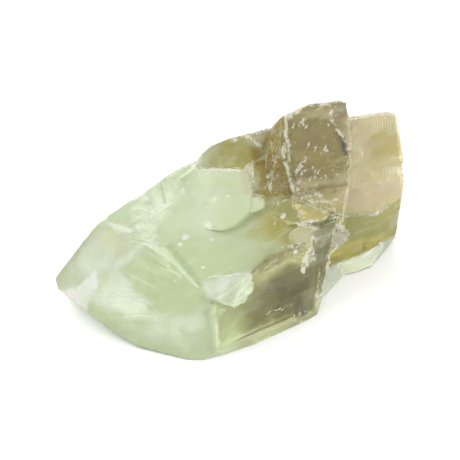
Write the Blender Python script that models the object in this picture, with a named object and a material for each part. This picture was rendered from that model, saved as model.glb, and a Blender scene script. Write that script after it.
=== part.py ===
"""Rough green calcite: one broken lump of grown-together cleavage blocks, resting on a flat cleavage face.

The visible side is drawn the way the stone looks from one viewpoint. A corner that can be seen from there is given by
how far right and how far up it appears, in millimetres, and by its height above the table. Corners on the far side are
plain x, y and z. A block is the convex hull of its corners, because cleavage and breakage leave flat faces. The blocks
are joined into one solid, and rhombs cut along the cleavage directions leave the steps of its far side.
"""

from math import cos, radians, sin, sqrt

import bmesh
import bpy
from mathutils import Vector

MM = 0.001

# The viewpoint that the corners are drawn from: turned about the stone, then raised above the table.
LOOK_AZIMUTH = radians(-38)
LOOK_ELEVATION = radians(42)

RIGHT = Vector((cos(LOOK_AZIMUTH), sin(LOOK_AZIMUTH), 0))
TOWARDS = Vector(
    (
        sin(LOOK_AZIMUTH) * cos(LOOK_ELEVATION),
        -cos(LOOK_AZIMUTH) * cos(LOOK_ELEVATION),
        sin(LOOK_ELEVATION),
    )
)
UP = TOWARDS.cross(RIGHT)

# Calcite splits along three directions that meet at this angle. The first two lie in the flat resting face.
CLEAVAGE_ANGLE = radians(101.9)
LEAN = cos(CLEAVAGE_ANGLE)
ALONG = Vector((1, 0, 0))
ACROSS = Vector((LEAN, sin(CLEAVAGE_ANGLE), 0))
RISE_Y = (LEAN - LEAN * LEAN) / sin(CLEAVAGE_ANGLE)
RISE = Vector((LEAN, RISE_Y, sqrt(1 - LEAN * LEAN - RISE_Y * RISE_Y)))


def seen(across, up, height):
    """The place of a visible corner, in mm, from where it appears and its height above the table."""
    depth = (height - up * UP.z) / TOWARDS.z
    return RIGHT * across + UP * up + TOWARDS * depth


def on_face(across, up, face, lift=0):
    """The place on a flat face where a corner appears, raised by lift mm towards the viewpoint."""
    first, second, third = face
    normal = (second - first).cross(third - first)
    start = RIGHT * across + UP * up
    depth = normal.dot(first - start) / normal.dot(TOWARDS)
    return start + TOWARDS * (depth + lift)


FLAT_WITHIN = radians(0.5)  # triangles this close to one plane become one face

# Faces that smaller blocks stand on, each through three visible corners.
TOP_FACE = (seen(-16, -4, 25), seen(17, -4.5, 23.3), seen(17, 8.5, 26.5))
DARK_FACE = (seen(-4.6, -18.2, 19), seen(-3.4, -31, 2.5), seen(21, -20, 1.5))
BANDED_FACE = (seen(30, 3.5, 16), seen(45.2, 14, 22), seen(43, 30.3, 34.5))
NEAR_FACE = (seen(-36.4, -21.2, 6.6), seen(-18, -22.5, 12.5), seen(-25.5, -9.3, 19.2))
TOWER_FACE = (seen(17, 8.3, 26), seen(14.6, 28.3, 42), seen(25.5, 29, 42.8))


def hull(name, corners):
    """A crystal block in metres: the convex hull of its corners in mm. A corner that the others bury is dropped."""
    shape = bmesh.new()
    for corner in corners:
        shape.verts.new(corner * MM)
    made = bmesh.ops.convex_hull(shape, input=shape.verts)
    buried = {item for item in made["geom_interior"] + made["geom_unused"] if isinstance(item, bmesh.types.BMVert)}
    bmesh.ops.delete(shape, geom=list(buried), context="VERTS")
    bmesh.ops.dissolve_limit(shape, angle_limit=FLAT_WITHIN, verts=shape.verts, edges=shape.edges)
    bmesh.ops.recalc_face_normals(shape, faces=shape.faces)
    mesh = bpy.data.meshes.new(name)
    shape.to_mesh(mesh)
    shape.free()
    return bpy.data.objects.new(name, mesh)


def block(name, near, far=()):
    """A block from its visible corners (across, up, height) and its hidden ones (x, y, z), all in mm."""
    return hull(name, [seen(*corner) for corner in near] + [Vector(corner) for corner in far])


def plate(name, face, outline, skirt=1.2, root=3):
    """A raised plate on a face. Its outline is (across, up, lift) in mm, and its foot is wider by skirt."""
    middle_across = sum(corner[0] for corner in outline) / len(outline)
    middle_up = sum(corner[1] for corner in outline) / len(outline)
    corners = []
    for across, up, lift in outline:
        corners.append(on_face(across, up, face, lift))
        away = Vector((across - middle_across, up - middle_up)).normalized() * skirt
        corners.append(on_face(across + away.x, up + away.y, face, -root))
    return hull(name, corners)


def rhomb(name, corner, along, across, rise):
    """A block with calcite's own angles, from one corner (x, y, z) and its three edge lengths, in mm."""
    start = Vector(corner)
    edges = [ALONG * along, ACROSS * across, RISE * rise]
    corners = [start + edges[0] * i + edges[1] * j + edges[2] * k for i in (0, 1) for j in (0, 1) for k in (0, 1)]
    return hull(name, corners)


def main_block():
    """The body: the chisel end on the left, the plateau on top and the corner that points at the viewer."""
    chisel_end = [(-45.2, -12.6, 6), (-44.6, -15.2, 4.5), (-35, 1.4, 19.6), (-26.5, -2.3, 22.9), (-36.4, -21.2, 6.6)]
    plateau = [(-20, -3.6, 24.7), (-16, -4.3, 25.1), (-15, 14.8, 27.5), (-25, 8.1, 23.7)]
    near_face = [(-25.5, -9.3, 19.2), (-18, -22.5, 12.5), (-7.2, -15, 21.8), (-4.6, -18.3, 19)]
    foot = [(-30, -26.2, 3), (-24, -29.8, 1), (-11, -33.3, 0.2), (-7, -33.5, 0), (-3.4, -31.2, 2.5), (0, -31.6, 0)]
    dark_end = [(6, -11, 21.7), (17, -5, 22.6), (26.5, 0.2, 23.2), (23.1, -19, 1.6), (22.3, -21.7, 0)]
    top = [(-11, 16.9, 28.7), (-8, 15.5, 29), (6, 17, 29)]
    far = [(16, -14, 23), (18, -18, 0), (10, 2, 25), (-34, 12, 7), (-30, 12, 0), (-14, 17, 0), (-12, 16, 8)]
    far += [(12, 15, 0), (12, 12, 14), (24, 4, 0), (-14, 8, 20)]
    return block("main_block", chisel_end + plateau + near_face + foot + dark_end + top, far)


def right_block():
    """The block behind on the right: a banded upper face and an undercut olive face below it."""
    top = [(43, 30.3, 34.5), (41, 30.6, 34.8), (34, 29.6, 34.5), (30, 28.9, 34.5)]
    crest = [(45.2, 14, 22), (44.4, 8.4, 17.5), (38, 4.9, 16.6), (30, 3.5, 16)]
    low = [(43.2, -1, 5), (42, -3.2, 2), (25.5, -7.8, 4), (24, -9, 1)]
    far = [(0, -22, 0), (0, -16, 24), (30, -8, 0), (38, -4, 9), (36, -3, 20), (24, 2, 24), (26, 4, 0), (0, 4, 0)]
    return block("right_block", top + crest + low, far)


def saddle():
    """The broken stretch that fills the corner between the body, the tower and the right block."""
    low = [(0, -20, 2), (2, -30, 3), (10, -26, 3), (12, -10, 3)]
    high = [(5, -29, 21), (13, -25, 23), (22, -18, 24), (20, -4, 26), (0, -10, 22)]
    return block("saddle", [(30, 1.5, 15), (28.8, -4, 9)], low + high)


def tower():
    """The brown block that stands up out of the top."""
    foot = [(9, 9, 26), (17, 8.3, 26), (30, 9.8, 26), (31, 12, 28)]
    brow = [(10.6, 26.3, 37.5), (14.6, 28.3, 42), (25.5, 29, 42.8), (29, 23, 38.4), (31.5, 22, 36.5)]
    top = [(13.4, 29.6, 41.5), (20, 32.5, 43), (28.4, 33.6, 43.4), (30.3, 33.3, 42.8)]
    far = [(11, -1, 28), (16, 2, 25), (24, -3, 31), (28, -6, 24), (26, -2, 14), (-2, -12, 18), (18, -20, 12)]
    return block("tower", foot + brow + top, far)


def north_block():
    """The olive block behind the plateau."""
    near = [(-8.8, 14.4, 28.3), (-8.3, 17, 30), (-7.2, 19.8, 31.4), (-4.8, 21.9, 32.8), (0, 23.8, 34)]
    near += [(5, 25.1, 34.9), (8.2, 26, 35.4), (11.5, 26.5, 35), (6.5, 8.5, 26.3), (11, 8.5, 26.5)]
    far = [(-11, 5, 22), (6, 2, 28), (14, -8, 24), (0, -10, 20)]
    return block("north_block", near, far)


def raised_plates():
    """Thin cleavage steps and flakes that stand on the larger faces."""
    pale = [(-13, 12, -2.5), (-8.6, 15.7, 1.6), (3, 15.7, 2.4), (5.3, 14, 2.4), (5.6, 8.7, 2.4), (5, 4.4, 2.2)]
    pale += [(1, 1, 1.8), (-2, -0.2, 1.4), (-4.5, 0, 1), (-13, 3, -2.5)]
    step = [(-2, 8.4, 1), (8.9, 8.4, 1.6), (9, 5.9, 1.6), (4.8, 4.2, 1.4), (-2, 1, 0.6)]
    olive = [(11.7, 7.3, 0.9), (16, 8.2, 0.9), (19.4, 1.6, 1), (14.7, 1.4, 1), (13.1, 3, 1), (11.1, 4.9, 0.9)]
    beige = [(15, -1, 0.6), (17.3, 1, 0.9), (22.3, 1, 1.6), (22.3, -1.8, 1.6), (18.9, -3.6, 0.8), (15.5, -4, 0.4)]
    tan = [(15.5, 8, 1), (20, 7.6, 1.6), (26, 6.4, 2.4), (29, 5, 3), (23.6, 2.2, 2.2), (19.6, 1.6, 1.2)]
    crust = [(17, 8.4, 1.6), (22, 10, 3.4), (30.6, 11.4, 4.8), (28.8, 3.4, 4), (22, 7.4, 2.8)]
    banded = [(30, 14, 0.7), (45, 17.6, 0.7), (43, 30.1, 0.7), (30, 28.7, 0.7)]
    striped = [(-34, -19.6, 0.4), (-30.5, -16.4, 0.8), (-21.6, -18.8, 0.9), (-19, -21.6, 0.7), (-29, -21.2, 0.4)]
    return [
        plate("striped_plate", NEAR_FACE, striped, skirt=0.5),
        plate("pale_plate", TOP_FACE, pale),
        plate("step_plate", TOP_FACE, step),
        plate("olive_plate", TOP_FACE, olive, skirt=0.8),
        plate("beige_plate", TOP_FACE, beige, skirt=0.8),
        plate("tan_plate", TOP_FACE, tan, skirt=0.6),
        plate("crust", TOP_FACE, crust, skirt=0.6),
        plate("banded_plate", BANDED_FACE, banded, skirt=0.2, root=2),
    ]


def corner_chip():
    """The pale flake that stands proud where the top, the near face and the dark face meet."""
    upper = [(-7.2, -13.6, 0.6), (-5, -12, 1.2), (0, -12, 1.4), (5.4, -10.7, 1)]
    lower = [(5.9, -14, 1.2), (3.7, -18, 1.6), (2, -19.7, 1.8), (0, -19.8, 1.8), (-5, -18.4, 1.2)]
    corners = [on_face(across, up, TOP_FACE, lift) for across, up, lift in upper]
    corners += [on_face(across, up, DARK_FACE, lift) for across, up, lift in lower]
    corners += [on_face(-6, -13, TOP_FACE, -3), on_face(4, -12, TOP_FACE, -3), on_face(2, -17, DARK_FACE, -3)]
    return hull("corner_chip", corners)


def edge_chips():
    """Broken flakes along the tower's left edge and along the crest of the right block."""
    chips = []
    slivers = [
        [(14.6, 28, 0.3), (15.4, 25.5, 0.8), (15, 21.5, 0.9), (13.9, 22.4, 0.5)],
        [(14.4, 22.4, 0.5), (15.6, 20, 0.9), (15.9, 16.4, 0.6), (14.7, 17.4, 0.7)],
        [(15, 17.2, 0.8), (16.2, 13.4, 1.1), (17.4, 9.4, 0.5), (16.4, 9.2, 0.6), (15.5, 12, 0.9)],
    ]
    for place, outline in enumerate(slivers):
        chips.append(plate(f"tower_chip_{place + 1}", TOWER_FACE, outline, skirt=0.5, root=2))
    crumbs = [
        [(29.4, 3.2, 0.7), (32.2, 4, 0.6), (31.6, 5.2, 0.3), (29.6, 4.8, 0.4)],
        [(32.8, 4.3, 0.5), (35.8, 4.6, 0.7), (35, 5.6, 0.3), (33, 5.4, 0.2)],
        [(36.4, 4.8, 0.4), (38.6, 5.1, 0.5), (38, 6, 0.2)],
    ]
    for place, outline in enumerate(crumbs):
        chips.append(plate(f"crest_chip_{place + 1}", BANDED_FACE, outline, skirt=0.4, root=2))
    return chips


def ledges():
    """The low ledges in front of the dark face and of the right block, and the prism between the two."""
    near = [(-3.2, -30.4, 3), (-1, -31.9, 0), (6, -29.6, 0), (20.5, -23.1, 0)]
    near += [(22.6, -21.8, 0), (24, -17, 2.6), (5, -27.2, 3.6), (19, -21.1, 3)]
    front = block("front_ledge", near, [(-20, -30, 0), (-6, -30, 4), (0, -30, 0)])
    near = [(29, -11.9, 0), (33, -11, 0), (36.5, -9.7, 0), (40, -5.5, 0)]
    near += [(43.3, -1.7, 1), (42.8, -1.4, 3.4), (33, -6.6, 4.4), (28, -8.6, 4.6)]
    right = block("right_ledge", near, [(10, -20, 0), (26, -18, 0), (10, -22, 5), (28, -20, 4)])
    near = [(23.6, -18, 0), (27, -13.5, 0), (29.5, -11.7, 0), (28, -8.8, 4.4), (25, -9.6, 5.6), (24, -14, 4)]
    inner = block("inner_ledge", near, [(-4, -30, 0), (14, -24, 0), (-4, -30, 5), (12, -24, 5)])
    face = [(22.4, 0.4), (27.5, 2.8), (26.3, -4), (25.1, -10), (23.8, -16), (22.9, -20.5), (20.8, -19), (20.4, -9)]
    prism = plate("prism", DARK_FACE, [(across, up, 1.4) for across, up in face], skirt=0.5, root=4)
    spur = block("spur", [(26.5, 1.8, 20), (31, -0.8, 17), (30.4, -2.6, 14.5), (26, -6, 11)], [(8, -26, 8), (4, -30, 20)])
    return [front, right, inner, prism, spur]


def cuts():
    """The cleavage steps that are missing from the far side, and the flat resting face."""
    table = [Vector((x, y, z)) for x in (-80, 80) for y in (-80, 80) for z in (-20, 0)]
    return [
        rhomb("cut_back_middle", (-26, 7, 12), 33, 40, 40),
        rhomb("cut_back_low", (-14, 12, 5), 40, 40, 40),
        rhomb("cut_back_right", (10, 3, 16), 60, 40, 40),
        rhomb("cut_back_left", (-64, 10, 3), 32, 40, 40),
        rhomb("cut_right_end", (32, -14, -5), 40, 60, 16),
        hull("table", table),
    ]


def colour(name, base, roughness):
    """A plain material with the stone's colour."""
    made = bpy.data.materials.new(name)
    made.use_nodes = True
    shader = made.node_tree.nodes["Principled BSDF"]
    shader.inputs["Base Color"].default_value = (*base, 1)
    shader.inputs["Roughness"].default_value = roughness
    shader.inputs["Metallic"].default_value = 0
    return made


def collection(name):
    """A new collection in the scene."""
    made = bpy.data.collections.new(name)
    bpy.context.scene.collection.children.link(made)
    return made


def combine(stone, other, operation):
    """Joins another block to the stone, or cuts it away."""
    step = stone.modifiers.new(other.name, "BOOLEAN")
    step.operation = operation
    step.solver = "EXACT"
    step.object = other
    other.hide_render = True
    other.display_type = "WIRE"


def centre_on_origin(stone, others):
    """Moves everything so that the middle of the resting face is the origin, under one empty."""
    bpy.context.view_layer.update()
    joined = stone.evaluated_get(bpy.context.evaluated_depsgraph_get())
    corners = [Vector(corner) for corner in joined.bound_box]
    low = Vector([min(corner[axis] for corner in corners) for axis in range(3)])
    high = Vector([max(corner[axis] for corner in corners) for axis in range(3)])
    place = bpy.data.objects.new("stone_place", None)
    bpy.context.scene.collection.objects.link(place)
    place.location = (-(low.x + high.x) / 2, -(low.y + high.y) / 2, -low.z)
    for item in [stone] + others:
        item.parent = place
    print("size in mm", [round(side / MM, 1) for side in high - low])
    print("drawing zero in mm", [round(side / MM, 2) for side in place.location])


def main():
    for old in list(bpy.data.objects):
        bpy.data.objects.remove(old)
    stone = main_block()
    stone.name = "calcite"
    collection("green_calcite").objects.link(stone)
    stone.data.materials.append(colour("green_calcite", (0.62, 0.74, 0.47), 0.3))
    helpers = collection("blocks_and_cuts")
    added = [right_block(), saddle(), tower(), north_block(), corner_chip()]
    added += raised_plates() + edge_chips() + ledges()
    for other in added:
        helpers.objects.link(other)
        combine(stone, other, "UNION")
    removed = cuts()
    for other in removed:
        helpers.objects.link(other)
        combine(stone, other, "DIFFERENCE")
    whole_faces = stone.modifiers.new("whole_faces", "DECIMATE")
    whole_faces.decimate_type = "DISSOLVE"
    whole_faces.angle_limit = FLAT_WITHIN / 2
    centre_on_origin(stone, added + removed)


main()
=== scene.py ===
# %% [markdown]
# # Rough green calcite
# A fist of broken calcite, 92 mm long: pale green at its pointed end, olive and brown at the other. It
# grew as one crystal mass, so it is one piece here too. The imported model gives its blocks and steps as
# plain flat faces. This lesson turns a copy of that model into worn, chipped stone with a clear green
# body, cloudy veils and dull scars.

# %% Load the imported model
from math import cos, pi, radians, sin

import bpy
import numpy as np
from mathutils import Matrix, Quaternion, Vector, noise


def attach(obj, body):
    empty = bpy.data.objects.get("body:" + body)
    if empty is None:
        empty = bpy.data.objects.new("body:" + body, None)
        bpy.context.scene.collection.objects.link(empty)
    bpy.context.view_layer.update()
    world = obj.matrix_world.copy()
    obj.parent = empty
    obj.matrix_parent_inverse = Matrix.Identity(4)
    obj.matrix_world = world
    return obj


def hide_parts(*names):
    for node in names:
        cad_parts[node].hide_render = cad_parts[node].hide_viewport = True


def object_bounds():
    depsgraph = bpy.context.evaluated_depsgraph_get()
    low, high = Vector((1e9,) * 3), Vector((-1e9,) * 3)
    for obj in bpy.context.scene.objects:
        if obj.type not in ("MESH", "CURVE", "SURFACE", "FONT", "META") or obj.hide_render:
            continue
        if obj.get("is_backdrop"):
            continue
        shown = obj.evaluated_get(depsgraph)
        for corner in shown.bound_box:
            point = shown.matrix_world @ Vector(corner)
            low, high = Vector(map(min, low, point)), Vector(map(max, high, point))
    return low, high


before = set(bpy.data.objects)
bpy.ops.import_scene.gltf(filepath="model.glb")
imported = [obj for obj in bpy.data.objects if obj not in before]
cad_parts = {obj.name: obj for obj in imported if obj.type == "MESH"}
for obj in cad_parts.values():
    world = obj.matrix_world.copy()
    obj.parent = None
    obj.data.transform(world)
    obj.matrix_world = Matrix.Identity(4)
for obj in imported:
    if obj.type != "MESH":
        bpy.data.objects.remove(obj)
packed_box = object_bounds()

MM = 0.001
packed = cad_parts["calcite"]
print("packed model:", len(packed.data.polygons), "triangles")

# %% [markdown]
# ## The viewpoint
# The stone is looked at from its front left corner and from well above. Its visible side is described
# from there: how far right and how far up a place is, in millimetres. The camera, the chips and the
# colours all use these directions, so they are worked out first.

# %% Three directions and a zero
LOOK_AZIMUTH = radians(-38)
LOOK_ELEVATION = radians(42)
ZERO = Vector((6.76, 11.41, 0)) * MM
RIGHT = Vector((cos(LOOK_AZIMUTH), sin(LOOK_AZIMUTH), 0))
NEAR = Vector((RIGHT.y * cos(LOOK_ELEVATION), -RIGHT.x * cos(LOOK_ELEVATION), sin(LOOK_ELEVATION)))
UP = NEAR.cross(RIGHT)
print("right, up and near:", [[round(part, 3) for part in way] for way in (RIGHT, UP, NEAR)])

# %% [markdown]
# ## Camera, table and light
# A long lens from three metres away draws the stone almost without perspective. The table is plain white
# paper. Large soft lamps behind the stone and on both sides shine through it, which is what makes pale
# calcite glow, and a white room fills the shadows.

# %% The camera
FRAME_WIDTH = 119.6 * MM
DISTANCE = 3
NEAREST_DRAWN = 0.1
camera = bpy.data.objects.new("camera", bpy.data.cameras.new("camera"))
bpy.context.scene.collection.objects.link(camera)
camera.location = ZERO + NEAR * DISTANCE
camera.rotation_euler = NEAR.to_track_quat("Z", "Y").to_euler()
camera.data.lens = camera.data.sensor_width * DISTANCE / FRAME_WIDTH
camera.data.clip_start = NEAREST_DRAWN
bpy.context.scene.camera = camera
print("lens:", round(camera.data.lens), "mm")

# %% The table
TABLE_SIZE = 8
TABLE_DROP = 0.1 * MM
PAPER_WHITE = (0.93, 0.93, 0.93, 1)
PAPER_ROUGHNESS = 0.9
bpy.ops.object.select_all(action="DESELECT")
bpy.ops.mesh.primitive_plane_add(size=TABLE_SIZE, location=(0, 0, -TABLE_DROP))
table = bpy.context.object
table.name = "table"
table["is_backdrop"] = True
paper = bpy.data.materials.new("paper")
paper.use_nodes = True
paper.node_tree.nodes["Principled BSDF"].inputs["Base Color"].default_value = PAPER_WHITE
paper.node_tree.nodes["Principled BSDF"].inputs["Roughness"].default_value = PAPER_ROUGHNESS
table.data.materials.append(paper)
print("table:", TABLE_SIZE, "m wide")

# %% The lamps and the room
LAMPS = {
    "key_lamp": ((-0.9, 0.5, 1.3), 0.9, 11),
    "back_lamp": ((0.6, 1.3, 0.8), 0.9, 10),
    "right_lamp": ((0.8, -1.2, 0.75), 0.8, 11),
}
ROOM_STRENGTH = 1.05


def softbox(name, place, size, watts):
    """A square lamp that looks at the stone."""
    lamp = bpy.data.objects.new(name, bpy.data.lights.new(name, "AREA"))
    lamp.data.size = size
    lamp.data.energy = watts
    lamp.location = place
    lamp.rotation_euler = Vector(place).to_track_quat("Z", "Y").to_euler()
    bpy.context.scene.collection.objects.link(lamp)


for lamp_name, (lamp_place, lamp_size, lamp_watts) in LAMPS.items():
    softbox(lamp_name, lamp_place, lamp_size, lamp_watts)
room = bpy.data.worlds.new("room")
bpy.context.scene.world = room
room.use_nodes = True
room.node_tree.nodes["Background"].inputs["Color"].default_value = (1, 1, 1, 1)
room.node_tree.nodes["Background"].inputs["Strength"].default_value = ROOM_STRENGTH
bpy.context.scene.view_settings.view_transform = "Standard"
print("lamps:", len(LAMPS), "in a room of strength", ROOM_STRENGTH)

# %% [markdown]
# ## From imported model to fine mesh
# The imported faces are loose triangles, so a copy of them is merged first. Broken stone needs detail
# everywhere, and long thin triangles can't carry it. Subdividing would follow those triangles. A Remesh
# modifier in its sharp mode lays an even net of small squares over the shape instead and still keeps the
# creases.


# %% Copy and merge
def take(obj):
    """Deselects everything else, as a click on the object would."""
    bpy.ops.object.select_all(action="DESELECT")
    obj.select_set(True)
    bpy.context.view_layer.objects.active = obj


def apply(obj, name, kind, **settings):
    """Adds one modifier with its settings and applies it."""
    take(obj)
    step = obj.modifiers.new(name, kind)
    for key, value in settings.items():
        setattr(step, key, value)
    bpy.ops.object.modifier_apply(modifier=name)


MERGE_WITHIN = 0.01 * MM
FLAT_WITHIN = radians(0.3)
stone = bpy.data.objects.new("calcite_stone", packed.data.copy())
bpy.context.scene.collection.objects.link(stone)
stone.data.materials.clear()
take(stone)
bpy.ops.object.mode_set(mode="EDIT")
bpy.ops.mesh.select_all(action="SELECT")
bpy.ops.mesh.remove_doubles(threshold=MERGE_WITHIN)
bpy.ops.mesh.dissolve_limited(angle_limit=FLAT_WITHIN)
bpy.ops.object.mode_set(mode="OBJECT")
print("faces after merging:", len(stone.data.polygons))

# %% An even fine mesh
apply(
    stone, "fine_mesh", "REMESH", mode="SHARP", octree_depth=8, scale=0.82, sharpness=1,
    use_remove_disconnected=True,
)
print("fine mesh:", len(stone.data.polygons), "faces")

# %% [markdown]
# In tight corners between two blocks the net can touch itself, or stay open. A modeller would delete
# such vertices and fill the holes. The next cell does the same, and looks again until none is left.

# %% Mend the net
MOST_ROUNDS = 12
bpy.ops.object.mode_set(mode="EDIT")
bpy.ops.mesh.select_mode(type="VERT")
for _ in range(MOST_ROUNDS):
    bpy.ops.mesh.select_all(action="DESELECT")
    bpy.ops.mesh.select_non_manifold()
    faults = stone.data.total_vert_sel
    print("vertices where the net touches itself or is open:", faults)
    if not faults:
        break
    bpy.ops.mesh.delete(type="VERT")
    bpy.ops.mesh.select_non_manifold(
        use_wire=False, use_multi_face=False, use_non_contiguous=False, use_verts=False,
    )
    bpy.ops.mesh.fill_holes(sides=0)
    bpy.ops.mesh.select_all(action="SELECT")
    bpy.ops.mesh.quads_convert_to_tris()
bpy.ops.object.mode_set(mode="OBJECT")

# %% [markdown]
# ## Where things are
# Every chip, groove and stain has its place on the stone. The next cell reads the vertices once and
# gives their place as seen from the viewpoint. A place on the visible side is then an outline of
# (across, up) corners, or a line of them, in millimetres. A little noise wanders along every border,
# because nothing on broken stone is ruled.


# %% Read the vertices
def read(source, name):
    """A place or direction of every vertex or face, one row for each."""
    values = np.zeros(len(source) * 3)
    source.foreach_get(name, values)
    return values.reshape(-1, 3)


FRONT_GAIN = 6
count = len(stone.data.vertices)
places = (read(stone.data.vertices, "co") - np.array(ZERO)) / MM
across, up = (places @ np.array(way) for way in (RIGHT, UP))
facing = read(stone.data.vertex_normals, "vector") @ np.array(NEAR)
front = np.clip(facing * FRONT_GAIN, 0, 1)
print("vertices:", count, "of which", int((facing > 0).sum()), "face the viewpoint")


# %% Outlines and lines
def wander(size, amount, seed):
    """A smooth random shift of every vertex to the right and up, in mm."""
    start = Vector((seed, seed, seed))
    shifts = [noise.noise_vector(Vector(place) / size + start) for place in places]
    return np.array(shifts)[:, :2] * amount


noise.seed_set(4)
loose = wander(size=4, amount=1.1, seed=3)
tight = wander(size=1.2, amount=0.45, seed=7)
shift = {"ruled": tight * 0.4, "torn": tight + loose * 0.5, "vague": tight + loose * 1.6}


def gap_to(line, x, y):
    """The distance of every vertex from a line of corners."""
    best = np.full(count, 1e6)
    for (x0, y0), (x1, y1) in zip(line, line[1:]):
        along = np.array((x1 - x0, y1 - y0))
        share = np.clip(((x - x0) * along[0] + (y - y0) * along[1]) / (along @ along), 0, 1)
        best = np.minimum(best, np.hypot(x - x0 - share * along[0], y - y0 - share * along[1]))
    return best


def patch(outline, soft=0.6, border="torn"):
    """1 inside an outline and 0 outside it, with a border that is soft mm wide."""
    x, y = across + shift[border][:, 0], up + shift[border][:, 1]
    ring = outline + outline[:1]
    within = np.zeros(count, bool)
    for (x0, y0), (x1, y1) in zip(ring, ring[1:]):
        if y0 != y1:
            within ^= ((y0 > y) != (y1 > y)) & (x < (x1 - x0) * (y - y0) / (y1 - y0) + x0)
    gap = gap_to(ring, x, y)
    return np.clip(0.5 + np.where(within, gap, -gap) / soft, 0, 1)


def stroke(line, width, border="torn"):
    """1 on a line and 0 beyond its half width."""
    x, y = across + shift[border][:, 0], up + shift[border][:, 1]
    return np.clip(2 - 2 * gap_to(line, x, y) / width, 0, 1)


print("borders wander by up to", round(float(np.abs(shift["vague"]).max()), 1), "mm")

# %% [markdown]
# Faces that need a mark of their own get a name here. Each has the softness of its border in
# millimetres, the kind of border and its outline.

# %% Name the faces
FACES = {
    "dark_face": (1, "torn", [
        (-4.8, -18.4), (-3.2, -31.2), (19, -22.4), (23, -20), (23.3, -10), (9, -7.4), (5.8, -10.5),
    ]),
    "calm": (2, "torn", [(-5, -18), (-3.2, -31), (19, -22.4), (24, -20), (24, -3), (14, -3), (4, -8)]),
    "smooth_rim": (1.5, "torn", [(-8, -11), (6.5, -9), (7, -16), (2, -21), (-6, -20)]),
    "striped_face": (3, "torn", [
        (-36, -16.5), (-36.4, -21.4), (-27, -27.5), (-17, -24), (-21, -19), (-27, -15.5),
    ]),
    "tower_left": (1, "torn", [(8.3, 9), (16.8, 8.6), (15, 17), (14.6, 29.6), (12.4, 29), (10.3, 26.3)]),
    "tower_front": (1, "torn", [(16.8, 9), (30, 11), (30, 22), (27, 28), (14.8, 29), (14.8, 20)]),
    "right_upper": (1.5, "torn", [(30.5, 29), (31.5, 20), (30, 5), (45.3, 13.8), (43.2, 30.4)]),
    "prism": (0.8, "torn", [
        (22.6, 0.4), (27.4, 2.8), (25, -10), (22.9, -20.5), (20.8, -18.8), (20.2, -9),
    ]),
    "crust": (0.8, "torn", [
        (16.9, 8.8), (21, 7.4), (26, 7.6), (28.6, 3), (31.5, 9.5), (30, 11), (22, 10),
    ]),
    "spur": (0.8, "torn", [(27.3, 1.5), (31.1, -0.8), (30.5, -2.6), (26.2, -6), (25.8, -2)]),
    "blob": (0.8, "torn", [(20, 1.8), (21.8, 2.6), (24, 1.4), (23, -0.2), (20.5, 0)]),
    "flake": (0.8, "torn", [
        (-7, -14), (-5, -12), (0, -11.9), (5.8, -10.4), (5.9, -14), (3.5, -18), (1, -19.9), (-5, -18.4),
    ]),
    "comb_upper": (1.5, "vague", [
        (36, 28.2), (37.6, 30), (43.5, 29.5), (42.8, 24.2), (39.8, 24.5), (36.6, 26),
    ]),
    "comb_lower": (1.2, "vague", [(38.2, 15.7), (41, 15.9), (41.2, 12.2), (38.6, 12)]),
}
face = {name: patch(outline, soft, border) * front for name, (soft, border, outline) in FACES.items()}
print("named faces:", len(face))

# %% [markdown]
# ## Worn edges
# Calcite is soft and splits easily, so its edges are bruised: they lose small blocks and turn white. The
# edges are found by the angle between the faces on their two sides, which a fine even mesh makes easy.
# Their share fades over a few vertices, so that the bruise has a width. The green end is glassy and
# hardly bruised, and so is the pale block at the right.

# %% Find the edges
face_normals = read(stone.data.polygons, "normal")
face_centres = read(stone.data.polygons, "center")
sides = {}
for polygon in stone.data.polygons:
    for key in polygon.edge_keys:
        sides.setdefault(key, []).append(polygon.index)
pairs = np.array([key + tuple(faces) for key, faces in sides.items() if len(faces) == 2])
print("edges between two faces:", len(pairs), "and others:", len(sides) - len(pairs))
first_normals = face_normals[pairs[:, 2]]
turn = np.arccos(np.clip((first_normals * face_normals[pairs[:, 3]]).sum(1), -1, 1))
bulge = ((face_centres[pairs[:, 3]] - face_centres[pairs[:, 2]]) * first_normals).sum(1) < 0


# %% Wear them
def spread(values, rings, fade):
    """Lets each vertex pass part of its value to its neighbours, ring by ring."""
    values = values.copy()
    for _ in range(rings):
        passed = values.copy()
        np.maximum.at(passed, pairs[:, 0], values[pairs[:, 1]] * fade)
        np.maximum.at(passed, pairs[:, 1], values[pairs[:, 0]] * fade)
        values = passed
    return values


def blotches(size, level, contrast, seed):
    """Random blotches, size mm across, between 0 and 1."""
    start = Vector((seed, 0, 0))
    values = [noise.noise(Vector(place) / size + start) for place in places]
    return np.clip(level + contrast * np.array(values), 0, 1)


SHARP_FROM = radians(14)
SHARP_FULL = radians(50)
BATTERED_FROM = 12
GLASSY_SHARE = 0.15
PALE_BLOCK_LEFT = 33
PALE_BLOCK_FOOT = 6
PALE_BLOCK_SHARE = 0.4
sharpness = np.clip((turn - SHARP_FROM) / (SHARP_FULL - SHARP_FROM), 0, 1)
ridge = np.zeros(count)
for end in (0, 1):
    np.maximum.at(ridge, pairs[bulge, end], sharpness[bulge])
pale_block = front * (across > PALE_BLOCK_LEFT) * (up > PALE_BLOCK_FOOT)
battered = np.clip(across / BATTERED_FROM, GLASSY_SHARE, 1) * np.where(pale_block, PALE_BLOCK_SHARE, 1)
worn = spread(ridge, rings=3, fade=0.7) * blotches(size=4.5, level=0.5, contrast=1.3, seed=11)
worn = worn * battered * (1 - 0.8 * face["smooth_rim"])
print("vertices on worn edges:", int((worn > 0.3).sum()))

# %% [markdown]
# The net meets a slanting edge in tiny teeth. A light smoothing takes them off. It leaves flat faces as
# they are and rounds each edge by a few tenths of a millimetre, as soft as the edges of handled calcite.

# %% Soften the edges
apply(stone, "soft_edges", "SMOOTH", factor=0.5, iterations=3)
moved = (read(stone.data.vertices, "co") - np.array(ZERO)) / MM - places
print("largest move in mm:", round(float(np.abs(moved).max()), 2))

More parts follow.
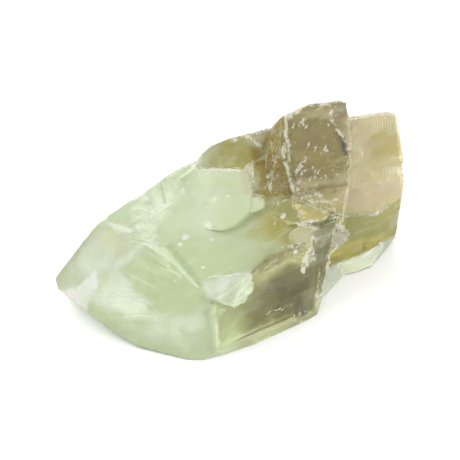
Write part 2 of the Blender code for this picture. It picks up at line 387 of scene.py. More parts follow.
# %% [markdown]
# ## Relief
# First come the broad swell and the low cleavage steps that every face has. The steps use cell noise,
# which is made of little blocks, on a ruler that is stretched along the cleavage. The same blocks bite
# into the worn edges. Only then come the marks of single faces. The resting face stays flat.

# %% Textures that move the surface
rulers = []


def ruler(name, size, turned=Quaternion()):
    """An empty whose own unit is size mm, for a texture to be measured in."""
    made = bpy.data.objects.new(name, None)
    bpy.context.scene.collection.objects.link(made)
    made.location = ZERO
    made.rotation_mode = "QUATERNION"
    made.rotation_quaternion = turned
    made.scale = Vector(size) * MM
    rulers.append(made)
    return made


def texture(name, kind, **settings):
    """A texture with its settings."""
    made = bpy.data.textures.new(name, kind)
    for key, value in settings.items():
        setattr(made, key, value)
    return made


BANDS_PER_UNIT = 2.757


def bands(across_way, width):
    """A ruler for a band texture, whose bands lie side by side in the given direction, width mm each."""
    own_way = Vector((1, 1, 1)).normalized()
    size = width * BANDS_PER_UNIT
    return ruler("bands", (size, size, size), own_way.rotation_difference(across_way))


def relief(name, pattern, measure, strength, where, middle=0.5):
    """Moves the surface by a texture, strength mm at most, where the share of each vertex says."""
    group = stone.vertex_groups.new(name=name)
    for vertex in np.nonzero(where > 0.01)[0]:
        group.add([int(vertex)], float(where[vertex]), "REPLACE")
    bpy.context.view_layer.update()
    apply(
        stone, name, "DISPLACE", texture=pattern, texture_coords="OBJECT", texture_coords_object=measure,
        strength=strength * MM, mid_level=middle, vertex_group=name, direction="NORMAL",
    )
    print(f"{name}: {int((where > 0.01).sum())} vertices")


CLEAVAGE_TURN = radians(11)
plain_ruler = ruler("plain_ruler", (1, 1, 1))
cleavage = Quaternion((0, 0, 1), CLEAVAGE_TURN)

# %% Swell, steps and bites
REST_BAND = 0.5
REST_FADE = 1.5
free = np.clip((read(stone.data.vertices, "co")[:, 2] / MM - REST_BAND) / REST_FADE, 0, 1)
swell = texture("swell", "CLOUDS", noise_scale=11, noise_depth=2)
relief("swell", swell, plain_ruler, 0.5, free)
blocks = texture(
    "blocks", "CLOUDS", noise_scale=1, noise_depth=0, noise_basis="CELL_NOISE", noise_type="HARD_NOISE",
)
step_ruler = ruler("step_ruler", (13, 4.5, 2.2), cleavage)
bite_ruler = ruler("bite_ruler", (2.6, 1.6, 1.3), cleavage)
nick_ruler = ruler("nick_ruler", (1, 0.8, 0.7), cleavage)
relief("steps", blocks, step_ruler, 0.09, free * (1 - face["calm"]))
relief("big_bites", blocks, bite_ruler, -0.75, worn * free, middle=0.1)
relief("small_bites", blocks, nick_ruler, -0.4, worn * free, middle=0.1)

# %% Grooves of single faces
grain = texture(
    "grain", "WOOD", wood_type="BANDNOISE", noise_scale=0.6, turbulence=3, noise_basis_2="SIN",
)
tower_way = (RIGHT + UP * 0.25).normalized()
upper_way = (UP - RIGHT * 0.18).normalized()
prism_way = (RIGHT + UP * -0.15).normalized()
relief("striped_face", grain, bands(UP, 1.3), 0.16, face["striped_face"] * free)
relief("tower_left", grain, bands(tower_way, 1.5), 0.15, face["tower_left"])
relief("right_upper_bands", grain, bands(upper_way, 3.4), 0.15, face["right_upper"])
relief("right_upper_grooves", grain, bands(RIGHT, 1), 0.05, face["right_upper"])
relief("prism_grooves", grain, bands(prism_way, 1.6), 0.12, face["prism"])

# %% Crusts and flakes
crumbs = texture("crumbs", "CLOUDS", noise_scale=1.1, noise_depth=3, contrast=1.4)
rings = texture(
    "rings", "WOOD", wood_type="RINGNOISE", noise_scale=1.5, turbulence=2, noise_basis_2="SIN",
)
scales = texture("scales", "VORONOI", noise_scale=2.2, distance_metric="DISTANCE", contrast=1.2)
crumbly = np.maximum.reduce([face["crust"], face["spur"], face["blob"]])
relief("flake_ripples", rings, ruler("ring_ruler", (7, 4, 5), cleavage), 0.2, face["flake"])
relief("crumbly_places", crumbs, plain_ruler, 0.4, crumbly)
relief("tower_front", scales, plain_ruler, 0.12, face["tower_front"])

# %% [markdown]
# ## Scars
# White scars are where crystal was crushed. Most run along an edge or a step, so each is a line with a
# strength and a width. The lines along the foot of the crust and under the tan plate are partly whitish
# crust and partly painted light that lifts the shadow below those overhangs. Chips are short strokes
# that look like single pecks. Both are rough as well as white, so they move the surface before they
# colour it.

# %% Name the scars
SCARS = {
    "tower_edge": (0.95, 0.6, [
        (14.2, 30.6), (14.4, 26.9), (14.2, 22.7), (13.7, 19.9), (14.7, 16.2), (15.6, 12.5), (16.5, 8.6),
    ]),
    "tower_edge_inner": (1, 0.6, [(14.6, 24), (15.3, 22.2), (15.7, 19.9), (15.1, 17.6)]),
    "tower_right_line": (0.7, 0.5, [(25.3, 32), (26.4, 28.8), (27.6, 26), (29, 24)]),
    "tower_arc": (0.8, 0.4, [(19.9, 19), (18.6, 17.6), (17.5, 16), (17, 13.9)]),
    "tower_arc_middle": (0.7, 0.35, [(18.9, 16.6), (18.1, 15.5), (17.6, 14.1)]),
    "tower_arc_inner": (0.7, 0.4, [(19.6, 15.8), (18.6, 13.9), (17.5, 11.8)]),
    "tower_top": (0.6, 0.5, [(10.5, 26.2), (12.5, 28.8), (14.5, 29.7), (17, 31.4), (20, 32.4)]),
    "tower_pale_drop": (0.5, 0.8, [(10, 13.9), (10.4, 11.5), (10.7, 10.2)]),
    "crust_upper": (0.6, 0.9, [(16.7, 8.8), (19, 9.3), (21, 9.4), (22.4, 10), (23.2, 9)]),
    "crust_middle": (0.55, 0.6, [(21.1, 7.9), (23.4, 7.2), (25.7, 6.7), (27.6, 7.9)]),
    # Partly a whitish border of the crust and partly painted light over the shade of the step beneath
    # it.
    "crust_foot": (0.65, 0.6, [(17.2, 8), (19.6, 7), (22, 6.1), (25.3, 4.2)]),
    "crust_lower": (0.6, 0.5, [(25.3, 5.1), (27.1, 6.5)]),
    "tan_plate_left": (0.6, 0.4, [(15.8, 7.6), (17.2, 4.6), (18.7, 2)]),
    "prism_streak": (0.9, 0.8, [(21.6, -2.4), (20.9, -5), (19.9, -7.4), (18.9, -10.6)]),
    "prism_streak_wide": (1, 1.6, [(20.7, -6), (19.6, -8.8)]),
    "prism_streak_left": (0.7, 0.5, [(17.6, -3.6), (17.2, -5.6), (16.7, -7.8)]),
    "prism_right": (0.6, 0.35, [(27.4, 2.4), (26.3, -3), (25.3, -9)]),
    "prism_left": (0.4, 0.3, [(23.3, -8.9), (22.9, -13), (22.6, -17.8)]),
    "prism_top": (0.9, 0.4, [(21.8, 0.6), (24, 2.1), (27.7, 3)]),
    "crest": (0.6, 0.6, [
        (28.3, 1.6), (29.2, 2.8), (30.4, 3.7), (32.7, 4.2), (35.2, 4), (38, 5), (40.5, 6),
    ]),
    "spur_rim": (0.8, 0.5, [(27.6, 1.3), (30.4, 0), (31, -1), (30.2, -2.8), (28, -4.2), (26.4, -5.8)]),
    "blob": (1, 1.5, [(20.5, 1.7), (22, 1.2)]),
    # Partly a whitish line and partly painted light, lifting the shadow under the overhang of the tan
    # plate.
    "plate_foot": (0.85, 1, [(17.5, 1.8), (20.2, 1.6), (23, 2), (25.4, 2.9), (27.3, 3.4)]),
    "north_rim": (0.7, 0.7, [(1, 24), (4, 24.3), (6.5, 22.8), (8, 22)]),
    "north_top": (0.6, 0.6, [(5, 25), (8, 25.6), (10.5, 26.3)]),
    "right_top": (0.8, 0.7, [(34, 29.4), (38, 30), (41, 30.4), (43, 29.8)]),
    "flake_fold": (0.5, 0.4, [(3.2, -12.2), (3.6, -14.2), (3, -16.4), (1.6, -18)]),
    "slab_edge": (0.5, 0.4, [(3, 15.5), (5.7, 17.7), (5.8, 9.2), (8.9, 8.5), (9, 5.6)]),
    "ruled_step": (0.9, 0.3, [(-8.5, 15.6), (2.8, 15.5)]),
    "nick_line": (0.6, 0.25, [(9.6, -21.5), (11.5, -20.8), (14.5, -19.8), (16.5, -19)]),
}
CHIPS = [
    (16.5, 27.3), (16, 26.6), (17.9, 27.8), (18.8, 28.4), (18.6, 27.3), (19.5, 26.6), (21.1, 25),
    (19.7, 21.9), (24.8, 21.7), (24.3, 20.8), (24.8, 19.8), (21.6, 20.8), (20.4, 13.2), (21.1, 11.7),
    (21.8, 11.5), (24.1, 13.4), (24.5, 14.2), (23, 13.6), (21.3, 13.9), (22.5, 15.1), (21.6, 15.3),
    (26.4, 15.4), (27.6, 14.1), (19.5, 15.3), (11, 7.2), (12.2, 6.7), (13.7, 7.4), (11.2, 3.4),
    (11.5, 1.8), (13.6, 3.4), (13.1, -4.5), (13.2, -20.6),
]

# %% Press the scars in
CHIP_STRENGTH = 0.7
CHIP_WIDTH = 0.33
scar = np.zeros(count)
for strength, width, line in SCARS.values():
    scar = np.maximum(scar, stroke(line, width) * strength)
scar = scar * blotches(size=1.5, level=0.85, contrast=1.3, seed=5)
for chip_across, chip_up in CHIPS:
    length = 0.25 + 0.2 * cos(chip_across * 7)
    line = [(chip_across, chip_up - length), (chip_across + length, chip_up + length)]
    scar = np.maximum(scar, CHIP_STRENGTH * stroke(line, CHIP_WIDTH))
scar = scar * front
fine_crumbs = texture("fine_crumbs", "CLOUDS", noise_scale=0.55, noise_depth=2, contrast=1.4)
relief("scars", fine_crumbs, plain_ruler, 0.08, scar)
print("named scars:", len(SCARS), "and chips:", len(CHIPS))

# %% Shade smooth
SMOOTH_BELOW = radians(28)
take(stone)
bpy.ops.object.shade_smooth_by_angle(angle=SMOOTH_BELOW)
print("visible piece:", sum(len(polygon.vertices) - 2 for polygon in stone.data.polygons), "triangles")

# %% [markdown]
# ## Colour of the crystal
# The colour sits in the crystal: mint at the point, olive and gold in the middle, brown in the tower and
# tan in the block behind. Those are broad zones that go right through.


# %% Broad zones
def seen_colour(red, green, blue):
    """A colour as it looks on a screen, 0 to 255, turned into the linear values that light needs."""
    parts = np.array((red, green, blue)) / 255
    return np.where(parts <= 0.04045, parts / 12.92, ((parts + 0.055) / 1.055) ** 2.4)


def washed(below, colour, share):
    """The stain below with one colour laid over it."""
    return below + (colour - below) * share[:, None]


def rise(values, start, length):
    """0 up to the start, then rising to 1 over the given length."""
    return np.clip((values - start) / length, 0, 1)


MINT = seen_colour(207, 220, 184)
OLIVE = seen_colour(172, 168, 112)
BROWN = seen_colour(153, 141, 99)
TAN = seen_colour(190, 178, 130)
zone = across + shift["vague"][:, 0] * 2
stain_and_painted_light = np.tile(MINT, (count, 1))
stain_and_painted_light = washed(stain_and_painted_light, OLIVE, rise(zone, -2, 14) * 0.9)
stain_and_painted_light = washed(stain_and_painted_light, BROWN, rise(zone, 10, 6) * rise(up, 4, 8))
stain_and_painted_light = washed(stain_and_painted_light, OLIVE, rise(up, 13, 4) * rise(zone, -9, 3))
stain_and_painted_light = washed(stain_and_painted_light, TAN, rise(zone, 28, 5))
print("mean stain:", stain_and_painted_light.mean(0).round(2))

# %% [markdown]
# On the visible side single faces look paler or darker. Partly that is their own colour and partly
# painted light, because each face reflects other parts of the inside: painted highlights on the ridge
# and a corner, a painted reflection and glow on the tip face, painted light that lifts the shade at the
# foot of the tower, along the foot of the olive plate and in the groove above the front ledge, and
# painted shade on the crust under the tower. So they get washes of their own, laid one over the other
# like glazes. A wash is a colour, its strength, the softness of its border in millimetres, the kind of
# border and an outline.

# %% Washes of single faces
WASHES = {
    "plateau_left": ((198, 210, 178), 0.85, 4, "vague", [
        (-29, 1.5), (-20, 8.5), (-12, 13.5), (-11, 5), (-16, -1), (-25, -1),
    ]),
    "plateau_middle": ((222, 234, 202), 0.7, 4, "vague", [
        (-18, 6), (-10, 13), (-9, 1), (-14, -2), (-20, 0),
    ]),
    "plateau_green": ((204, 217, 171), 0.6, 5, "vague", [
        (-16, -4), (-8, -14), (6, -9), (14, -4), (2, 2), (-10, 0),
    ]),
    "tip_face": ((212, 219, 196), 0.9, 0.8, "ruled", [
        (-45.8, -13), (-44, -16), (-36.4, -18.2), (-25.2, -4.2), (-26.5, -1.2), (-35, 1.6),
    ]),
    "tip_tan": ((224, 220, 190), 0.85, 3, "vague", [
        (-35.5, 2), (-37, -2), (-33, -3), (-30, -5), (-28.5, -8), (-26, -4), (-28, 1),
    ]),
    "tip_edge": ((192, 192, 168), 0.8, 1.6, "ruled", [
        (-45.8, -13), (-44.3, -14.5), (-40, -8), (-34.5, 0.6), (-36, 2),
    ]),
    # Painted light: a pale glow on the tip face.
    "tip_glow": ((238, 244, 230), 0.9, 4, "vague", [
        (-39, -9), (-35, -4), (-30.5, -5), (-31, -9), (-35, -14),
    ]),
    # Painted highlights on the ridge and on a corner.
    "ridge_glint": ((255, 255, 252), 1, 0.5, "ruled", [
        (-32, 2), (-28.5, 1.5), (-25.3, 0.2), (-25.2, -0.7), (-28.5, -0.5),
    ]),
    "corner_glint": ((250, 252, 244), 0.9, 0.5, "ruled", [
        (-21.8, -2.9), (-18.2, -3.2), (-18.4, -4), (-21.7, -3.8),
    ]),
    # Painted reflection: the white panel that the tip face mirrors.
    "tip_painted_reflection": ((255, 255, 255), 1, 0.5, "ruled", [
        (-34.4, -10.2), (-38.8, -14.3), (-40.9, -17.5), (-36.5, -21.3), (-36.4, -17.5), (-34.1, -14.6),
    ]),
    # Painted light: the near-white part of the same reflection below the tip, lightened against the
    # shade there.
    "tip_white": ((252, 250, 244), 0.95, 1.2, "torn", [
        (-43.6, -15.8), (-40, -14.6), (-36.5, -16), (-36.5, -21.4), (-41, -18),
    ]),
    "rhomb_beside": ((238, 246, 232), 0.9, 1.6, "torn", [
        (-28, -9.7), (-19, -23), (-27, -22.5), (-33, -15), (-29.5, -8.5), (-22.5, -3), (-21, -3.6),
    ]),
    "rhomb": ((200, 214, 168), 0.9, 0.8, "ruled", [
        (-26.9, -9.7), (-18.3, -22.5), (-9, -21.5), (-6.5, -16.5), (-12.3, -11.5), (-15.8, -4.6),
        (-21.3, -3.6),
    ]),
    "rhomb_rim": ((180, 198, 148), 0.75, 0.8, "ruled", [
        (-17, -4.2), (-15.2, -3.2), (-5.6, -14.6), (-6.6, -16.4),
    ]),
    "rhomb_core": ((203, 217, 172), 0.7, 3, "vague", [(-22, -12), (-17, -21), (-11, -20), (-16, -9)]),
    "side_white": ((242, 248, 236), 0.9, 2.5, "vague", [
        (-36, -15.6), (-36.4, -18.5), (-27, -22), (-21, -19), (-26, -13),
    ]),
    "low_rim_left": ((197, 212, 170), 0.9, 1, "torn", [
        (-36.4, -18.4), (-36.4, -22), (-24, -31), (-22, -28.4), (-30, -23),
    ]),
    "low_rim_right": ((198, 212, 172), 0.9, 1.4, "torn", [
        (-25, -28.6), (-24, -31), (-7, -34.5), (-5, -32),
    ]),
    "low_pale": ((230, 240, 222), 0.8, 3, "vague", [
        (-21, -22), (-8, -22), (-5.5, -26), (-10, -29), (-22, -27),
    ]),
    "low_shade": ((192, 203, 170), 0.7, 2, "vague", [(-13, -26), (-5, -25), (-4, -31), (-9, -32)]),
    "dark_face": ((126, 120, 74), 1, 0.5, "ruled", [
        (-4.8, -18.4), (-3.2, -31.2), (19, -22.4), (23, -20), (23.3, -10), (9, -7.4), (5.8, -10.5),
    ]),
    "dark_face_left": ((134, 136, 94), 0.9, 5, "vague", [(-5, -18), (-3.2, -31), (5, -29), (0, -19)]),
    "dark_face_core": ((64, 52, 4), 0.9, 4.5, "vague", [
        (4, -20.5), (8, -13.5), (12, -9.8), (18, -8), (23.4, -8.5), (23.4, -20.4), (14, -23),
        (5, -26.5),
    ]),
    "dark_face_foot": ((140, 132, 84), 0.8, 2, "torn", [
        (2, -28), (16, -22), (16.4, -23.4), (3, -29.4),
    ]),
    # Painted light that lifts the shade in the groove above the front ledge.
    "ledge_painted_light": ((206, 208, 168), 0.5, 1.2, "torn", [
        (-3.6, -29.4), (4, -26.4), (11, -23.8), (11, -25.6), (-1, -31),
    ]),
    "dark_face_brow": ((150, 142, 96), 0.9, 1.6, "torn", [
        (5.9, -10.4), (9, -7), (20, -2.5), (20, -7), (15, -8.3), (8, -13),
    ]),
    "dark_face_rim": ((206, 218, 188), 0.9, 0.7, "torn", [
        (-5.4, -19), (-3.9, -31.2), (-2.6, -31), (-3.9, -19.5),
    ]),
    "flake": ((214, 217, 204), 0.95, 0.6, "torn", [
        (-7.2, -13.4), (-6.1, -12.5), (-2.2, -12), (1.1, -11.1), (5.3, -10.3), (5.7, -11.4), (5.6, -15),
        (4.2, -17.3), (1.9, -19.5), (-0.6, -19.2), (-4.5, -18.1), (-5.6, -16.1), (-7, -15),
    ]),
    "flake_left": ((236, 241, 230), 0.85, 1.6, "vague", [
        (-7.5, -13), (-2, -11.8), (1.5, -12), (-2, -16.5), (-5, -18),
    ]),
    "flake_shade": ((178, 182, 164), 0.85, 1, "torn", [
        (5, -11.5), (5.4, -15), (4, -17.2), (1.9, -19.3), (-0.6, -19), (-3, -18), (1, -14.5),
    ]),
    "front_ledge": ((160, 160, 128), 1, 0.4, "torn", [
        (-3.4, -30.6), (0, -32), (10, -27.4), (22, -22.6), (24, -17), (23, -20), (8, -26),
    ]),
    "gold": ((186, 179, 100), 0.85, 3.5, "vague", [(5, -2), (14, -4.5), (19, 0), (13, 7), (8, 6)]),
    "gold_core": ((172, 164, 62), 0.9, 1.4, "torn", [
        (9.5, -1), (13.6, -1), (13.9, 1.8), (11.5, 2.8), (9.5, 1.5),
    ]),
    "olive_plate": ((164, 160, 90), 0.9, 0.4, "ruled", [
        (11, 5), (14.7, 1.5), (19.4, 1.5), (16, 8.3), (11.7, 7.3),
    ]),
    "beige_plate": ((210, 204, 160), 0.9, 1.4, "torn", [
        (15, 0.2), (15.4, -2.2), (17, -3.6), (19.4, -3.8), (21.6, -3), (22.4, -1), (22.4, 0.8),
        (19, 1.2),
    ]),
    "slab": ((220, 229, 190), 1, 0.4, "ruled", [
        (-8.6, 15.5), (-5, 2), (-2, -0.3), (1, 0.9), (5, 4.3), (9, 5.4), (9, 8.6), (5.8, 9),
        (5.8, 17.8), (3, 15.5),
    ]),
    "slab_top_line": ((250, 250, 236), 0.9, 0.4, "ruled", [
        (-8.6, 15.9), (3, 15.9), (3, 15.2), (-8.6, 15.2),
    ]),
    "slab_left": ((232, 242, 212), 0.8, 5, "vague", [(-9, 15.5), (-9, -1), (-4, -1), (-4, 15.5)]),
    "slab_edge": ((216, 209, 182), 0.8, 0.8, "ruled", [(2.8, 15.4), (5.8, 17.8), (5.8, 9), (3.6, 9)]),
    "north_face": ((171, 160, 76), 1, 0.4, "ruled", [
        (-8.7, 15.7), (3.3, 15.6), (6.3, 17.5), (9, 26), (5, 25.4), (0, 24), (-5, 22.2), (-7.8, 20),
    ]),
    "north_pale": ((188, 183, 140), 0.8, 1.5, "torn", [
        (-8.7, 15.7), (-6, 15.7), (-5, 19), (-1, 22.5), (-5, 23), (-8, 20),
    ]),
    "amber": ((142, 119, 20), 0.95, 1.6, "vague", [
        (6.6, 9), (10, 8.6), (10.8, 18), (10.4, 25.8), (7.6, 25.2), (5.6, 21), (6.4, 18),
    ]),
    "north_crumbs": ((196, 187, 156), 0.7, 1.2, "torn", [
        (2, 23.8), (5, 22.2), (8, 21), (10, 26), (5, 26),
    ]),
    "tower_left": ((146, 124, 38), 1, 0.6, "torn", [
        (8.4, 9), (16.8, 8.6), (15.4, 14), (14.6, 21), (14.7, 29.6), (12.4, 29), (10.2, 26.3),
    ]),
    "tower_front": ((150, 135, 84), 1, 0.6, "torn", [
        (16.8, 8.8), (28, 10), (30.6, 14), (30, 22), (27, 28.4), (14.7, 29.4), (14.7, 20),
    ]),
    "tower_core": ((138, 125, 79), 0.7, 5, "vague", [(18, 20), (25, 14), (28, 18), (26, 25), (19, 27)]),
    "tower_brow": ((148, 133, 98), 0.8, 2, "torn", [
        (13, 29.6), (15, 28.4), (26, 28.4), (30.6, 29), (30, 34), (19, 33.4),
    ]),
    "tower_right": ((158, 144, 106), 0.95, 0.8, "torn", [
        (26.6, 29.4), (29, 23), (31.8, 19.2), (31.8, 24), (30.7, 30),
    ]),
    "tower_patch": ((56, 46, 58), 0.9, 1.2, "torn", [
        (27.2, 25.2), (28.4, 21), (30.4, 18.2), (30.9, 19.6), (29, 23.8),
    ]),
    # Painted light that lifts the shade at the foot of the tower front, above the crust.
    "tower_foot_painted_light": ((224, 208, 160), 0.8, 2, "torn", [
        (16.9, 9.5), (21, 10), (27, 11.6), (25, 13.4), (17.2, 12.6),
    ]),
    # A paler haze on the lower right of the tower, also lightened as painted light that lifts the same
    # shade.
    "tower_mist_and_painted_light": ((204, 194, 166), 0.85, 2.4, "vague", [(24, 9.8), (31, 9.5), (31.2, 15), (27, 13)]),
    "crust": ((184, 170, 112), 0.95, 0.8, "torn", [
        (16.7, 8.4), (17.9, 9.1), (21.1, 9.3), (22.5, 10.1), (23.4, 8.8), (25.7, 9.7), (27.6, 10.7),
        (30.4, 13), (31, 10.7), (29.9, 7.9), (27.6, 5.1), (25.3, 4.2), (24.3, 6.5), (22.5, 6),
        (18.3, 7.2), (15.8, 7.7),
    ]),
    # Painted light along the foot of the olive plate, lifting the shade of its step.
    "olive_plate_foot_painted_light": ((214, 206, 140), 0.9, 1, "torn", [
        (10.2, 5.4), (12, 4.4), (14.6, 2.2), (17.6, 1.8), (17.4, 0.6), (14, 0.8), (10.4, 4),
    ]),
    "crust_shade": ((160, 148, 104), 0.8, 2, "vague", [(22.4, 9.6), (26, 8.6), (28, 10.4), (23, 11)]),
    "tan_plate": ((208, 193, 118), 0.95, 0.5, "torn", [
        (16, 7.4), (18.8, 1.9), (23, 1.9), (25.3, 3.7), (24.3, 6), (21.1, 5.8), (17.9, 6.7),
    ]),
    "tan_plate_core": ((188, 174, 108), 0.7, 1.6, "vague", [
        (19.5, 5), (23.5, 5.2), (24.4, 3.8), (22, 3.4),
    ]),
    "right_upper": ((228, 213, 164), 1, 0.8, "ruled", [
        (30.4, 29.3), (31.6, 20), (29, 4), (38, 5), (45.5, 8.6), (45.5, 16), (43.2, 31),
    ]),
    "right_pink": ((232, 215, 176), 0.85, 3, "vague", [
        (30.4, 29), (31.6, 20), (31, 9), (34, 11), (35.4, 29),
    ]),
    "right_gold": ((206, 190, 120), 0.8, 2, "vague", [(36, 18.6), (44, 19.5), (43, 27.5), (37, 25.5)]),
    "right_band": ((232, 214, 176), 0.95, 1.5, "torn", [
        (29.5, 5), (33, 5.4), (38, 7.5), (45.4, 11.4), (45.4, 14.4), (31, 10.5),
    ]),
    "right_low": ((170, 165, 84), 1, 0.5, "torn", [
        (28, 1.8), (25.4, -8.8), (33, -6.4), (43.4, -1.5), (44.6, 8.3), (38, 5), (33, 4.4),
    ]),
    "right_low_gold": ((216, 200, 116), 0.9, 1.6, "vague", [
        (27, -5), (25.5, -8.6), (34, -6), (43, -2), (36, -2),
    ]),
    "spur": ((218, 211, 193), 0.9, 0.6, "torn", [
        (27.3, 1.5), (31.1, -0.8), (30.5, -2.6), (26.2, -6), (26, -2),
    ]),
    "right_ledge": ((204, 212, 200), 1, 0.5, "torn", [
        (24.6, -9.4), (28, -8.6), (33, -6.5), (43.5, -1.6), (40, -5.6), (36.5, -10), (29, -12.4),
        (23.2, -19),
    ]),
    "prism": ((104, 96, 44), 1, 0.4, "ruled", [
        (22.6, 0.3), (23.8, 1.7), (27.5, 2.9), (25.1, -10), (22.9, -20.6), (20.8, -18.6), (20, -12),
        (20.6, -8),
    ]),
    "prism_top": ((142, 137, 106), 0.7, 2, "vague", [(22.6, 0.3), (27.5, 2.9), (26.6, -3), (22, -4)]),
    "prism_tip": ((204, 208, 180), 0.8, 1, "torn", [
        (22.3, -16), (23.4, -15.5), (23.4, -20), (21.6, -20.4),
    ]),
}
for colour, strength, soft, border, outline in WASHES.values():
    stain_and_painted_light = washed(stain_and_painted_light, seen_colour(*colour), patch(outline, soft, border) * strength * front)
print("washes:", len(WASHES))

# %% [markdown]
# A few small painted highlights flash white, most on the green part. They are spots at a place, so many
# millimetres wide.

# %% Painted glints
GLINTS = [
    (-12.6, -3.9, 0.5), (-11.3, -2, 0.9), (-4.8, -2.3, 0.45), (-7.1, -9.7, 0.5), (-4.2, 7.9, 0.5),
    (-0.3, 9, 0.5), (-6, 5.8, 0.4), (-20, 4.5, 0.35), (13.6, 3.6, 0.6), (14.4, 7.6, 0.5),
    (16, -4.2, 0.5), (1.5, 23.2, 0.4),
]
GLINT_COLOUR = seen_colour(252, 252, 246)
for glint_across, glint_up, size in GLINTS:
    spot = stroke([(glint_across - 0.1, glint_up), (glint_across + 0.1, glint_up)], size)
    stain_and_painted_light = washed(stain_and_painted_light, GLINT_COLOUR, spot * front)
print("glints:", len(GLINTS))

# %% [markdown]
# The finish reads these numbers from the mesh. The mint share says where the crystal is green, the clear
# share where it has no milk, the fleck share where it is full of specks, and the comb share where fine
# teeth stand side by side.


# %% Store what the finish reads
def store(name, values):
    """Keeps one number for each vertex, or the three parts of a colour, as an attribute."""
    kind = "FLOAT" if values.ndim == 1 else "FLOAT_VECTOR"
    made = stone.data.attributes.new(name, kind, "POINT")
    made.data.foreach_set("value" if values.ndim == 1 else "vector", values.astype(np.float32).ravel())
    print(f"{name}: up to {values.max():.2f}")


# The stain holds the crystal's own colours and also the painted light of the washes and glints.
store("stain_and_painted_light", stain_and_painted_light)
store("scar", scar)
store("worn", worn)
store("comb", np.maximum(face["comb_upper"], face["comb_lower"] * 0.6))
store("mint", np.clip((6 - zone) / 8, 0, 1))
store("clear", np.maximum(face["dark_face"] * 0.7, face["tower_front"] * 0.85))
store("fleck", np.maximum(face["tower_front"], face["tower_left"] * 0.7))

# %% [markdown]
# ## The finish
# Calcite is clear with milk in it. A share of the light goes straight through, bent as by glass, and the
# rest is scattered back by a milky body. What goes through gets greener with every millimetre. The nodes
# are written as sums, which is shorter and easier to change than a drawing of fifty boxes.


# %% Sums that make nodes
class Number:
    """An output of a node. Arithmetic on it adds Math nodes."""

    def __init__(self, nodes, socket):
        self.nodes = nodes
        self.socket = socket

    def math(self, operation, other=None, clamp=False, swap=False):
        """One Math node on this number and another one."""
        values = [other, self] if swap else [self, other]
        settings = {"operation": operation, "use_clamp": clamp}
        used = [value for value in values if value is not None]
        return self.nodes.add("ShaderNodeMath", settings, dict(enumerate(used)))

    def __add__(self, other):
        return self.math("ADD", other)

    def __sub__(self, other):
        return self.math("SUBTRACT", other)

    def __mul__(self, other):
        return self.math("MULTIPLY", other)

    def __rsub__(self, other):
        return self.math("SUBTRACT", other, swap=True)

    __radd__ = __add__
    __rmul__ = __mul__

    def clamped(self):
        """The same number, kept between 0 and 1."""
        return self.math("ADD", 0, clamp=True)

    def above(self, level, gain):
        """0 up to a level, then rising with the given gain as far as 1."""
        return ((self - level) * gain).clamped()


class Nodes:
    """The node tree of one finish."""

    def __init__(self, name):
        self.material = bpy.data.materials.new(name)
        self.material.use_nodes = True
        self.tree = self.material.node_tree
        self.tree.nodes.clear()

    def add(self, kind, settings=None, values=None, output=0):
        """Adds a node: its kind, its settings, then the numbers or links of its sockets."""
        node = self.tree.nodes.new(kind)
        for name, value in (settings or {}).items():
            setattr(node, name, value)
        for name, value in (values or {}).items():
            if isinstance(value, Number):
                self.tree.links.new(value.socket, node.inputs[name])
            else:
                node.inputs[name].default_value = value
        return Number(self, node.outputs[output]) if node.outputs else None

    def attribute(self, name, output="Fac"):
        """A number, or a colour, that the mesh carries."""
        return self.add("ShaderNodeAttribute", {"attribute_name": name}, output=output)

    def noise(self, place, size, detail=2, distortion=0.0):
        """Cloudy noise with lumps of a given size."""
        values = {"Vector": place, "Scale": 1 / size, "Detail": detail, "Distortion": distortion}
        return self.add("ShaderNodeTexNoise", values=values)

    def distance(self, place, way):
        """How far a place lies in one direction."""
        settings = {"operation": "DOT_PRODUCT"}
        return self.add("ShaderNodeVectorMath", settings, {0: place, 1: way}, output="Value")

    def mix(self, first, second, share):
        """A mix of two colours."""
        values = {0: share, 6: first, 7: second}
        return self.add("ShaderNodeMix", {"data_type": "RGBA"}, values, output=2)


calcite = Nodes("green_calcite")
print("finish:", calcite.material.name)

# %% [markdown]
# Everything is measured in millimetres on the stone itself. Wisps are noise that is stretched along one
# direction. Hair is finer still and runs up the visible faces, as the threads in crushed calcite do.

# %% Noise in the stone
WISP_TURN = (0.5, 0.35, 0.2)
WISP_STRETCH = (0.25, 1, 1)
own_place = calcite.add("ShaderNodeTexCoord", output="Object")
place = calcite.add("ShaderNodeVectorMath", {"operation": "SCALE"}, {0: own_place, "Scale": 1 / MM})
turned = calcite.add(
    "ShaderNodeMapping", values={"Vector": place, "Rotation": WISP_TURN, "Scale": WISP_STRETCH},
)
cloud = calcite.noise(place, 9, 3)
lump = calcite.noise(place, 6, 2)
wisp = calcite.noise(turned, 2.2, 4, 0.6)
speck = calcite.noise(place, 1.1, 1)
fine = calcite.noise(place, 0.7, 3)
grit = calcite.noise(place, 0.42, 5)
own_right = calcite.distance(place, RIGHT)
own_up = calcite.distance(place, UP)
own_near = calcite.distance(place, NEAR)
strand = calcite.add(
    "ShaderNodeCombineXYZ", values={"X": own_right, "Y": own_up * 0.22, "Z": own_near * 0.5},
)
hair = calcite.noise(strand, 0.4, 3, 0.6)
print("nodes so far:", len(calcite.tree.nodes))

# %% [markdown]
# White comes from four things: crushed scars, bruised edges, specks and the comb of fine teeth. The
# strongest of them wins. Milk makes the body paler, and depth makes the mint part greener.

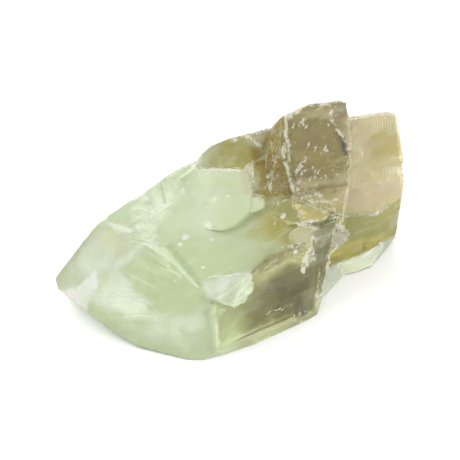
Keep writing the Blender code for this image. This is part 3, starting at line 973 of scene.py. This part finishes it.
# %% White, milk and depth
TOOTH_GAP = 0.68
WHITE = (*seen_colour(246, 244, 234), 1)
PALE = (*seen_colour(226, 230, 212), 1)
GREENER = (*seen_colour(196, 210, 160), 1)
scar_share = calcite.attribute("scar")
worn_share = calcite.attribute("worn")
crushed = (scar_share * 1.2 + grit * 0.8 + hair * 1.9).above(1.62, 1.6) * (scar_share * 5).clamped()
bruised = (worn_share * 1.1 + grit * 0.8 + hair * 1.4).above(1.65, 1.3) * (worn_share * 5).clamped()
dots = speck.above(0.69, 18) * (calcite.attribute("fleck") + 0.12)
wave = ((own_right + own_up * 0.12) * (2 * pi / TOOTH_GAP) + fine * 3).math("SINE")
teeth = (wave * 1.5 - 0.3).clamped() * calcite.attribute("comb")
white = crushed.math("MAXIMUM", bruised * 0.75).math("MAXIMUM", dots * 0.9).math("MAXIMUM", teeth * 0.5)
milk = 1 - calcite.attribute("clear")
veil = (wisp.above(0.52, 5) * 0.34 + cloud.above(0.5, 4) * 0.3) * milk
depth = lump.above(0.48, 5) * 0.35
# The stored stain, with its painted light, becomes the base colour.
tinted = calcite.mix(calcite.attribute("stain_and_painted_light", "Vector"), GREENER, depth * calcite.attribute("mint"))
body = calcite.mix(tinted, PALE, veil)
colour = calcite.mix(body, WHITE, white * 0.8)
print("nodes so far:", len(calcite.tree.nodes))

# %% [markdown]
# Clean cleavage faces are smooth and crushed places are dull. Calcite bends light by 1.49 in one
# direction and 1.66 in the other, so the glass in between is set to 1.55.

# %% Green calcite
CALCITE_IOR = 1.55
CLEAR_SHARE = 0.55
GREEN_GLASS = (0.75, 0.87, 0.58, 1)
GREEN_DENSITY = 14
BUMP_STRENGTH = 0.5
BUMP_DEPTH = 0.6 * MM
roughness = 0.12 + white * 0.4 + fine * 0.08
height = fine * 0.1 + wisp * 0.12 + white * 0.04
bump = calcite.add(
    "ShaderNodeBump", values={"Strength": BUMP_STRENGTH, "Distance": BUMP_DEPTH, "Height": height},
)
shader = calcite.add(
    "ShaderNodeBsdfPrincipled",
    values={
        "Base Color": colour,
        "Roughness": roughness,
        "Normal": bump,
        "IOR": CALCITE_IOR,
        "Transmission Weight": CLEAR_SHARE,
    },
)
absorption = calcite.add(
    "ShaderNodeVolumeAbsorption", values={"Color": GREEN_GLASS, "Density": GREEN_DENSITY},
)
calcite.add("ShaderNodeOutputMaterial", values={"Surface": shader, "Volume": absorption})
stone.data.materials.append(calcite.material)
print("nodes in the finish:", len(calcite.tree.nodes))

# %% [markdown]
# ## Hand over
# The rulers have done their work and go. The piece rides on the one body of the model and stands for its
# one node.

# %% Tidy, attach and hide the imported part
for helper in rulers:
    bpy.data.objects.remove(helper)
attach(stone, "root")
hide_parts("calcite")
print("rulers put away:", len(rulers))

# %% Measure the sizes
visual_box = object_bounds()
sizes = {
    "packed": [list(corner) for corner in packed_box],
    "visual": [list(corner) for corner in visual_box],
}
spans = [[round((high - low) / MM, 1) for low, high in zip(*box)] for box in sizes.values()]
print("packed and visual size in mm:", spans)
